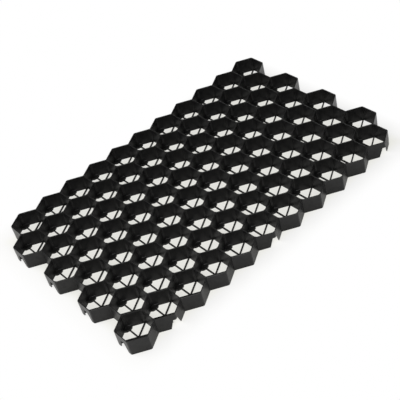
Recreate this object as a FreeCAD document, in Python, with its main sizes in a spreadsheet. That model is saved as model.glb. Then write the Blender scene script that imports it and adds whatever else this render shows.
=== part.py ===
import FreeCAD, Part
import Sketcher
import os

# A grass paver grid: one moulded plastic mat of hexagonal cells, open at the top, with a six-armed
# star of flat ribs across the foot of every cell. It lies flat, long side along X, foot at Z = 0.
doc = FreeCAD.newDocument("GrassPaverGrid")

# Driving sizes in millimetres, and the two counts
sheet = doc.addObject("Spreadsheet::Sheet", "Sizes")
sizes = [
    ("pitch", 53.0, "cell to cell along a row"),
    ("columns", 11, "cells in a row"),
    ("row_pitch", 47.6, "row to row"),
    ("rows", 8, "rows, every second one shifted by half a pitch"),
    ("height", 30.0, "foot to rim"),
    ("wall_top", 1.4, "cell wall at the rim"),
    ("wall_foot", 1.8, "cell wall at the foot, thicker by the mould's draft"),
    ("corner_leg", 2.4, "length of wall that each chamfered inner corner takes up"),
    ("outer_leg", 1.3, "the same at the corners that stand out all round"),
    ("rib_width", 1.9, "arm of the star in plan"),
    ("rib_height", 3.0, "arm of the star"),
    ("pad_radius", 10.5, "round pad about the far corner of each cell"),
    ("pad_height", 4.0, "pad above the ground"),
    ("notch_foot", 19.2, "notch's width at the ground"),
    ("notch_top", 8.6, "notch's width at its top"),
    ("notch_height", 18.0, "notch above the ground"),
    ("front_notch_depth", 13.0, "reach of a front notch behind its corner, through the rib"),
    ("hook_neck", 3.0, "thickness of a hook's neck"),
    ("hook_plate", 2.0, "thickness of a hook's head"),
    ("hook_length", 24.0, "length of a hook's head"),
    ("hook_height", 15.0, "hook above the ground"),
    ("side_hook_gap", 2.6, "room between a side wall and the head of its hook"),
    ("back_hook_reach", 11.0, "valley to the head of a back hook"),
]
for line, (name, value, note) in enumerate(sizes, 1):
    sheet.set(f"A{line}", name)
    sheet.set(f"B{line}", str(value))
    sheet.set(f"C{line}", note)
    sheet.setAlias(f"B{line}", name)
doc.recompute()

# The slope of the slanted walls, which the slanted arms share, and the size of one hexagon
slope = "(2 * Sizes.row_pitch / (3 * Sizes.pitch))"
secant = f"sqrt(1 + {slope} ^ 2)"
sine = f"({slope} / {secant})"
crest = "(2 / 3 * Sizes.row_pitch)"
half = "(Sizes.pitch / 2)"

# Centre of the first cell of the front row, which starts flush at -X, and of the row behind it, and a
# level just under the ground
front_x = "(-(Sizes.columns - 0.5) / 2 * Sizes.pitch)"
front_y = "(-(Sizes.rows - 1) / 2 * Sizes.row_pitch)"
second_x = f"({front_x} + {half})"
second_y = f"({front_y} + Sizes.row_pitch)"
below = "(-1)"


def new_body(name):
    """A body, with its origin's planes and axes by their role."""
    body = doc.addObject("PartDesign::Body", name)
    body.AllowCompound = True
    return body, {feature.Role: feature for feature in body.Origin.OriginFeatures}


def placed_sketch(part, name, plane, base):
    """An empty sketch on a plane of the origin, its centre moved by base in the plane's own axes."""
    body, origin = part
    drawn = body.newObject("Sketcher::SketchObject", name)
    drawn.AttachmentSupport = (origin[plane], [""])
    drawn.MapMode = "FlatFace"
    for axis, value in zip("xyz", base):
        drawn.setExpression(f".AttachmentOffset.Base.{axis}", value)
    return drawn


def hold(drawn, geometry, point, x, y):
    """One point of a sketch held at x and y from the sketch's centre."""
    for kind, value in (("DistanceX", x), ("DistanceY", y)):
        held = drawn.addConstraint(Sketcher.Constraint(kind, -1, 1, geometry, point, 1.0))
        drawn.setExpression(f"Constraints[{held}]", value)


def polygons(part, name, loops, base=("0", "0", "0"), plane="XY_Plane"):
    """A sketch of closed polygons; every corner is held by two sizes."""
    drawn = placed_sketch(part, name, plane, base)
    for loop in loops:
        first = drawn.GeometryCount
        count = len(loop)
        spots = [FreeCAD.Vector(k, k * k, 0) for k in range(count)]
        for k in range(count):
            drawn.addGeometry(Part.LineSegment(spots[k], spots[(k + 1) % count]), False)
        for k, (x, y) in enumerate(loop):
            drawn.addConstraint(Sketcher.Constraint("Coincident", first + k, 2, first + (k + 1) % count, 1))
            hold(drawn, first + k, 1, x, y)
    return drawn


def pad(part, profile, length):
    """The profile raised to a length."""
    raised = part[0].newObject("PartDesign::Pad", profile.Name + "Pad")
    raised.Profile = profile
    raised.setExpression("Length", length)
    return raised


def pocket(part, profile, length, upwards=True):
    """The profile cut upwards from its own level, or behind the plane of an upright sketch."""
    cut = part[0].newObject("PartDesign::Pocket", profile.Name + "Pocket")
    cut.Profile = profile
    cut.Reversed = upwards
    cut.setExpression("Length", length)
    return cut


def over_rows(part, feature, along_x):
    """The feature on every second row, and on every column too where along_x is set."""
    body, origin = part
    rows = body.newObject("PartDesign::LinearPattern", feature.Name + "Rows")
    rows.Originals = [feature]
    rows.Direction = (origin["Y_Axis"], [""])
    rows.Mode = "Extent"
    rows.setExpression("Length", "(Sizes.rows - 2) * Sizes.row_pitch")
    rows.setExpression("Occurrences", "Sizes.rows / 2")
    if along_x:
        rows.Direction2 = (origin["X_Axis"], [""])
        rows.Mode2 = "Extent"
        rows.setExpression("Length2", "(Sizes.columns - 1) * Sizes.pitch")
        rows.setExpression("Occurrences2", "Sizes.columns")
    body.Tip = rows
    return rows


def all_round(points):
    """The points of the first quadrant, in order from +Y to +X, carried round all four quadrants."""
    turned = list(points)
    turned += [(x, f"-({y})") for x, y in reversed(points)]
    turned += [(f"-({x})", f"-({y})") for x, y in points]
    turned += [(f"-({x})", y) for x, y in reversed(points)]
    return turned


def block_outline():
    """One hexagon out to the outer face of its walls."""
    edge = f"({half} + Sizes.wall_foot / 2)"
    peak = f"({crest} + Sizes.wall_foot / 2 * {secant})"
    side = f"({peak} - {edge} * {slope})"
    right = [("0", peak), (edge, side), (edge, f"-{side}")]
    left = [("0", f"-{peak}"), (f"-{edge}", f"-{side}"), (f"-{edge}", side)]
    return right + left


def cell_outline():
    """The hollow of one cell at the rim, its six corners chamfered."""
    edge = f"({half} - Sizes.wall_top / 2)"
    peak = f"({crest} - Sizes.wall_top / 2 * {secant})"
    side = f"({peak} - {edge} * {slope})"
    return all_round([
        (f"Sizes.corner_leg / {secant}", f"{peak} - Sizes.corner_leg * {sine}"),
        (f"{edge} - Sizes.corner_leg / {secant}", f"{side} + Sizes.corner_leg * {sine}"),
        (edge, f"{side} - Sizes.corner_leg"),
    ])


def star_outline():
    """Six arms from the middle of a cell to the crossings of its walls."""
    arm = "(Sizes.rib_width / 2)"
    quarter = [
        (arm, crest),
        (arm, f"{arm} * {slope} + {arm} * {secant}"),
        (f"{half} - {arm} * {sine}", f"{crest} / 2 + {arm} / {secant}"),
        (f"{half} + {arm} * {sine}", f"{crest} / 2 - {arm} / {secant}"),
    ]
    notch = f"{arm} / {sine}"
    right = quarter + [(notch, "0")] + [(x, f"-({y})") for x, y in reversed(quarter)]
    return right + [(f"-({x})", y) for x, y in reversed(right)]


def pad_outline():
    """The round pad as a prism of twelve sides about the +Y crossing of the walls."""
    turns = [f"{30 * k} deg" for k in range(12)]
    spokes = [(f"Sizes.pad_radius * sin({turn})", f"Sizes.pad_radius * cos({turn})") for turn in turns]
    return [(x, f"{crest} + {y}") for x, y in spokes]


def hook_outline(near):
    """A hook in plan, as places out from its wall and along it: a neck, and a straight head across it."""
    neck = "(Sizes.hook_neck / 2)"
    head = "(Sizes.hook_length / 2)"
    far = f"{near} + Sizes.hook_plate"
    one_side = [("0", neck), (near, neck), (near, head), (far, head)]
    return one_side + [(out, f"-({along})") for out, along in reversed(one_side)]


def notch_outline(middle):
    """A notch seen from outside: open at the ground and narrower at the top."""
    foot = "Sizes.notch_foot / 2"
    top = "Sizes.notch_top / 2"
    return [
        (f"{middle} - {foot}", "0"),
        (f"{middle} + {foot}", "0"),
        (f"{middle} + {top}", "Sizes.notch_height"),
        (f"{middle} - {top}", "Sizes.notch_height"),
    ]


# The block that the cells are hollowed from: one hexagon for each cell, walls shared
block = new_body("Block")
starts = [("Front", front_x, front_y), ("Second", second_x, second_y)]
for tag, x, y in starts:
    hexagon = polygons(block, f"{tag}Hexagon", [block_outline()], (x, y, "0"))
    honeycomb = over_rows(block, pad(block, hexagon, "Sizes.height"), True)
doc.recompute()

# The corners that stand out all round the block are chamfered
outward = []
for k, edge in enumerate(honeycomb.Shape.Edges, 1):
    if abs(edge.tangentAt(edge.FirstParameter).z) < 0.5:
        continue
    one, other = honeycomb.Shape.ancestorsOfType(edge, Part.Face)
    if (other.CenterOfMass - edge.CenterOfMass).dot(one.normalAt(0, 0)) < 0:
        outward.append(f"Edge{k}")
corners = block[0].newObject("PartDesign::Chamfer", "OuterCorners")
corners.Base = (honeycomb, outward)
corners.setExpression("Size", "Sizes.outer_leg")

# Hooks on the recessed cells of the +X side
last_wall = f"({front_x} + (Sizes.columns - 1) * Sizes.pitch + {half})"
side_hook = hook_outline("(Sizes.wall_foot / 2 + Sizes.side_hook_gap)")
side_hook = polygons(block, "SideHook", [side_hook], (last_wall, front_y, "0"))
over_rows(block, pad(block, side_hook, "Sizes.hook_height"), False)

# Hooks in three valleys of the back
joined_columns = ("1", "floor(Sizes.columns / 2)", "(Sizes.columns - 1)")
joined = [f"({front_x} + {column} * Sizes.pitch)" for column in joined_columns]
valley_y = f"(-{front_y} + {crest} / 2)"
back_hook = hook_outline("Sizes.back_hook_reach")
back_hooks = [[(f"{x} + {along}", out) for out, along in back_hook] for x in joined]
back_hooks = polygons(block, "BackHook", back_hooks, ("0", valley_y, "0"))
pad(block, back_hooks, "Sizes.hook_height")

# Notches that take the next mat's side hooks, through the walls that stand out at the -X side; the
# sketch is upright and just inside the wall
inside_x = f"({front_x} - {half} + 1.2 * Sizes.wall_foot)"
side_notch = polygons(block, "SideNotch", [notch_outline("0")], (front_y, "0", inside_x), "YZ_Plane")
over_rows(block, pocket(block, side_notch, "3 * Sizes.wall_foot", False), False)

# Notches that take the next mat's back hooks, through three corners of the front row; the sketch is
# upright and just in front of the mat
ahead = "2 * Sizes.wall_foot"
front_face = f"(-({front_y} - {crest} - {ahead}))"
front_notches = [notch_outline(x) for x in joined]
front_notch = polygons(block, "FrontNotch", front_notches, ("0", "0", front_face), "XZ_Plane")
block[0].Tip = pocket(block, front_notch, f"Sizes.front_notch_depth + {ahead}", False)

# The space of the cells: a hollow that narrows downwards by the mould's draft, less the star across its
# foot and the round pad that stands in its +Y corner
spaces = []
for tag, x, y in starts:
    space = new_body(f"{tag}Cells")
    under = (x, y, below)
    rim = polygons(space, f"{tag}Rim", [cell_outline()], under)
    hollow = pad(space, rim, f"Sizes.height - {below}")
    doc.recompute()
    levels = {f"Face{k}": face.normalAt(0, 0).z for k, face in enumerate(hollow.Shape.Faces, 1)}
    walls = space[0].newObject("PartDesign::Draft", f"{tag}Walls")
    walls.Base = (hollow, [name for name, level in levels.items() if abs(level) < 0.5])
    walls.NeutralPlane = (hollow, [name for name, level in levels.items() if level > 0.5])
    walls.Reversed = True
    walls.setExpression("Angle", "atan((Sizes.wall_foot - Sizes.wall_top) / 2 / Sizes.height)")
    star = polygons(space, f"{tag}Star", [star_outline()], under)
    pocket(space, star, f"Sizes.rib_height - {below}")
    standing = polygons(space, f"{tag}Pad", [pad_outline()], under)
    cells = over_rows(space, pocket(space, standing, f"Sizes.pad_height - {below}"), True)
    cells.TransformMode = "Whole shape"
    spaces.append(space[0])

hollows = doc.addObject("Part::Compound", "Hollows")
hollows.Links = spaces
grid = doc.addObject("Part::Cut", "Grid")
grid.Base = block[0]
grid.Tool = hollows
grid.Refine = False
grid.Label = "paver_grid"
doc.recompute()

# Nothing is written unless every feature came out sound and the mat is one solid
for item in doc.Objects:
    if "Invalid" in item.State or "Error" in item.State:
        raise RuntimeError(f"{item.Label} failed: {item.State}")
shape = grid.Shape
if shape.isNull() or not shape.isValid() or len(shape.Solids) != 1:
    raise RuntimeError("the mat is not one sound solid")
os.makedirs("parts", exist_ok=True)
shape.Solids[0].exportStep(f"parts/{grid.Label}.step")
box = shape.BoundBox
print(f"{grid.Label}: {box.XLength:.2f} x {box.YLength:.2f} x {box.ZLength:.2f} mm, {len(shape.Faces)} faces")
print(f"{shape.Volume / 1000:.1f} cm3, centre of the box at {box.Center.x:.3f}, {box.Center.y:.3f}")
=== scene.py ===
import math

import bmesh
import bpy
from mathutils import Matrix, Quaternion, Vector


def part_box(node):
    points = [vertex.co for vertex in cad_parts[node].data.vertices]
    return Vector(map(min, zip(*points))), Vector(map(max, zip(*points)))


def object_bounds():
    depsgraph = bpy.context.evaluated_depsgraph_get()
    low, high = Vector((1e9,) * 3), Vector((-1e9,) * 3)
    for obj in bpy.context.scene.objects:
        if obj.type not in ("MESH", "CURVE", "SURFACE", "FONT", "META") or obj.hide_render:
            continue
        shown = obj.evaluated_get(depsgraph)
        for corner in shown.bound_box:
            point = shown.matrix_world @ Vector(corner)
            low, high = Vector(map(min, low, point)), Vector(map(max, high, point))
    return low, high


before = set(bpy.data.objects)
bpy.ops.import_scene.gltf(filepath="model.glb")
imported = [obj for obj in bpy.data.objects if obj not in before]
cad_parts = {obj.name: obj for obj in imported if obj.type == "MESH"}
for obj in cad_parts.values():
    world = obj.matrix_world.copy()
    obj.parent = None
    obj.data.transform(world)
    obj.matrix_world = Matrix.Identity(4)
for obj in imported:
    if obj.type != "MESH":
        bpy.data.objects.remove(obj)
cad_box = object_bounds()

# The mat is one injection moulding in black recycled polypropylene: hexagonal cells with drafted walls,
# and flat ribs across their feet. The mould leaves a fine satin grain and faint drag lines up the walls,
# and every edge comes out slightly rounded.
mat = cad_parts["paver_grid"]
mat_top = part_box("paver_grid")[1].z
regrind_dark = (0.0035, 0.0035, 0.0037, 1)
regrind_light = (0.0130, 0.0129, 0.0126, 1)
clouds_per_metre = 150
# Painted highlight on the rim tops: a lighter grey, laid on in patches
rim_highlight_grey = (0.0180, 0.0180, 0.0176, 1)
rim_highlight_patches_per_metre = 160
rim_highlight_depth = 0.0008
faintest_rim_highlight = 0.15
drag_lines_per_metre = 500
satin_roughness = 0.28
dull_roughness = 0.40
waves_per_metre = 120
wave_depth = 0.0003
grains_per_metre = 1400
grain_depth = 0.00006
edge_round = 0.00025

plastic = bpy.data.materials.new("black_polypropylene")
plastic.use_nodes = True
nodes = plastic.node_tree.nodes
links = plastic.node_tree.links
shader = nodes["Principled BSDF"]
shader.inputs["Specular IOR Level"].default_value = 0.29
place = nodes.new("ShaderNodeTexCoord")


def grain(per_metre, detail, fineness=0.5, stretch=(1, 1, 1)):
    """Noise on the piece's own coordinates, in waves per metre, stretched along an axis if asked."""
    turned = nodes.new("ShaderNodeMapping")
    turned.inputs["Scale"].default_value = stretch
    links.new(place.outputs["Object"], turned.inputs["Vector"])
    noise = nodes.new("ShaderNodeTexNoise")
    noise.inputs["Scale"].default_value = per_metre
    noise.inputs["Detail"].default_value = detail
    noise.inputs["Roughness"].default_value = fineness
    links.new(turned.outputs["Vector"], noise.inputs["Vector"])
    return noise.outputs["Fac"]


def spread(value, low, high, to_low, to_high):
    """A value between low and high carried over to another range."""
    carried = nodes.new("ShaderNodeMapRange")
    for socket, number in zip(carried.inputs[1:5], (low, high, to_low, to_high)):
        socket.default_value = number
    links.new(value, carried.inputs["Value"])
    return carried.outputs["Result"]


def raised(height, depth, over=None):
    """A faint bump of the given depth in metres, laid over another one if asked."""
    bump = nodes.new("ShaderNodeBump")
    bump.inputs["Distance"].default_value = depth
    bump.inputs["Strength"].default_value = 0.3
    links.new(height, bump.inputs["Height"])
    if over is not None:
        links.new(over, bump.inputs["Normal"])
    return bump.outputs["Normal"]


# Regrind gives the black a slight cloudiness, in patches a few millimetres wide
cloud = nodes.new("ShaderNodeValToRGB")
dark, light = cloud.color_ramp.elements
dark.position = 0.3
dark.color = regrind_dark
light.position = 0.7
light.color = regrind_light
links.new(grain(clouds_per_metre, detail=5, fineness=0.72), cloud.inputs["Fac"])

# A painted highlight lightens the rim tops to a dull grey, broken into patches by noise
height = nodes.new("ShaderNodeSeparateXYZ")
links.new(place.outputs["Object"], height.inputs["Vector"])
rim = spread(height.outputs["Z"], mat_top - rim_highlight_depth, mat_top - rim_highlight_depth / 4, 0, 1)
highlight_patches = spread(grain(rim_highlight_patches_per_metre, detail=5), 0.42, 0.62, faintest_rim_highlight, 1)
rim_highlight = nodes.new("ShaderNodeMath")
rim_highlight.operation = "MULTIPLY"
links.new(rim, rim_highlight.inputs[0])
links.new(highlight_patches, rim_highlight.inputs[1])
highlighted = nodes.new("ShaderNodeMix")
highlighted.data_type = "RGBA"
highlighted.inputs["B"].default_value = rim_highlight_grey
links.new(rim_highlight.outputs["Value"], highlighted.inputs["Factor"])
links.new(cloud.outputs["Color"], highlighted.inputs["A"])
links.new(highlighted.outputs["Result"], shader.inputs["Base Color"])

# The drag lines run up the walls, so their noise is stretched along Z
drag_lines = grain(drag_lines_per_metre, detail=3, stretch=(1, 1, 0.03))
links.new(spread(drag_lines, 0.3, 0.7, satin_roughness, dull_roughness), shader.inputs["Roughness"])

# Thin walls cool a little wavy, under the mould's fine grain
wavy = raised(grain(waves_per_metre, detail=2), wave_depth)
links.new(raised(grain(grains_per_metre, detail=2), grain_depth, wavy), shader.inputs["Normal"])

mat.data.materials.clear()
mat.data.materials.append(plastic)

# The facets are joined, so that each sharp edge can get its small round, and every face stays flat
weld = mat.modifiers.new("joined", "WELD")
weld.merge_threshold = 0.00001
edges = mat.modifiers.new("rounded_edges", "BEVEL")
edges.width = edge_round
edges.segments = 1
edges.limit_method = "ANGLE"
edges.angle_limit = math.radians(25)
edges.use_clamp_overlap = False
crisp = mat.modifiers.new("flat_faces", "EDGE_SPLIT")
crisp.split_angle = math.radians(8)

# The mat lies on a sheet of white studio paper that runs out past the view. The paper looks cream through
# the cells, and beside the mat its soft shadow fades until the camera and the gloss see plain white.
paper_white = (0.95, 0.94, 0.90, 1)
paper_cream = (1, 0.995, 0.94, 1)
plain_white = (1, 1, 1, 1)
half_sheet = 12
sheet_level = -0.0002
glow_under_mat = 0.60
edge_inset = Vector((0.018, 0.014, 0))
cream_to = 0.016
white_from = 0.05

sheet = bpy.data.objects.new("studio_sheet", bpy.data.meshes.new("studio_sheet"))
bpy.context.collection.objects.link(sheet)
flat = bmesh.new()
bmesh.ops.create_grid(flat, x_segments=1, y_segments=1, size=half_sheet)
bmesh.ops.translate(flat, verts=flat.verts, vec=(0, 0, sheet_level))
flat.to_mesh(sheet.data)
flat.free()

paper = bpy.data.materials.new("white_paper")
paper.use_nodes = True
nodes = paper.node_tree.nodes
links = paper.node_tree.links
nodes.remove(nodes["Principled BSDF"])


def step(kind, operation, first, second):
    """One step of arithmetic, on numbers or on vectors, with sockets or plain values."""
    node = nodes.new(kind)
    node.operation = operation
    for socket, value in zip(node.inputs, (first, second)):
        if isinstance(value, bpy.types.NodeSocket):
            links.new(value, socket)
        else:
            socket.default_value = value
    return node.outputs


# How far out a point of the sheet is, from a box that stops a little inside the mat's edge
inner_box = (cad_box[1] - cad_box[0]) / 2 - edge_inset
at = nodes.new("ShaderNodeTexCoord").outputs["Object"]
beside = step("ShaderNodeVectorMath", "ABSOLUTE", at, (0, 0, 0))["Vector"]
beside = step("ShaderNodeVectorMath", "SUBTRACT", beside, inner_box)["Vector"]
beside = step("ShaderNodeVectorMath", "MAXIMUM", beside, (0, 0, 0))["Vector"]
away = step("ShaderNodeVectorMath", "LENGTH", beside, (0, 0, 0))["Value"]

# The share of plain glow that the camera and the gloss see in place of the lit paper
bare = spread(away, 0, white_from, 0, 1)
rays = nodes.new("ShaderNodeLightPath").outputs
seen_glow = spread(bare, 0, 1, glow_under_mat, 1)
seen = step("ShaderNodeMath", "MULTIPLY", rays["Is Camera Ray"], seen_glow)["Value"]
mirror = step("ShaderNodeMath", "MAXIMUM", rays["Is Glossy Ray"], rays["Is Transmission Ray"])["Value"]
mirrored = step("ShaderNodeMath", "MULTIPLY", mirror, bare)["Value"]
share = step("ShaderNodeMath", "MAXIMUM", seen, mirrored)["Value"]

shade = nodes.new("ShaderNodeBsdfDiffuse")
shade.inputs["Color"].default_value = paper_white
tint = nodes.new("ShaderNodeMix")
tint.data_type = "RGBA"
tint.inputs["A"].default_value = paper_cream
tint.inputs["B"].default_value = plain_white
links.new(spread(away, 0, cream_to, 0, 1), tint.inputs["Factor"])
glow = nodes.new("ShaderNodeEmission")
links.new(tint.outputs["Result"], glow.inputs["Color"])
blend = nodes.new("ShaderNodeMixShader")
links.new(share, blend.inputs["Fac"])
links.new(shade.outputs["BSDF"], blend.inputs[1])
links.new(glow.outputs["Emission"], blend.inputs[2])
links.new(blend.outputs["Shader"], nodes["Material Output"].inputs["Surface"])
sheet.data.materials.append(paper)

# Soft studio light: a dim even surround, which the camera sees as plain white, and two large box lights,
# one high over the far left corner and one high over the front
surround_light = 0.25
box_width = 1.6
box_depth = 1.2
world = bpy.data.worlds.new("studio")
bpy.context.scene.world = world
world.use_nodes = True
nodes = world.node_tree.nodes
links = world.node_tree.links
surround = nodes["Background"]
surround.inputs["Color"].default_value = plain_white
in_view = nodes.new("ShaderNodeLightPath").outputs["Is Camera Ray"]
links.new(spread(in_view, 0, 1, surround_light, 1), surround.inputs["Strength"])
for name, watts, spot in (
    ("far_box_light", 26, Vector((-1.3, 1.4, 1.7))),
    ("front_box_light", 39, Vector((-0.9, -1.6, 1.7))),
):
    box_light = bpy.data.objects.new(name, bpy.data.lights.new(name, "AREA"))
    box_light.data.shape = "RECTANGLE"
    box_light.data.size = box_width
    box_light.data.size_y = box_depth
    box_light.data.energy = watts
    box_light.location = spot
    box_light.rotation_euler = (-spot).to_track_quat("-Z", "Y").to_euler()
    bpy.context.collection.objects.link(box_light)

# The camera stands off the front left, tilted on its own axis, with a portrait lens
aim = Vector((-0.0257, -0.0286, 0.015))
distance = 1.569
azimuth = math.radians(-31.32)
elevation = math.radians(41.12)
roll = math.radians(-15.61)
to_camera = Vector((
    math.sin(azimuth) * math.cos(elevation),
    -math.cos(azimuth) * math.cos(elevation),
    math.sin(elevation),
))
camera = bpy.data.objects.new("camera", bpy.data.cameras.new("camera"))
camera.data.sensor_width = 36
camera.data.lens = 83.36
camera.location = aim + to_camera * distance
camera.rotation_mode = "QUATERNION"
camera.rotation_quaternion = Quaternion(-to_camera, -roll) @ (-to_camera).to_track_quat("-Z", "Y")
bpy.context.collection.objects.link(camera)
bpy.context.scene.camera = camera

bpy.context.scene.view_settings.view_transform = "Standard"
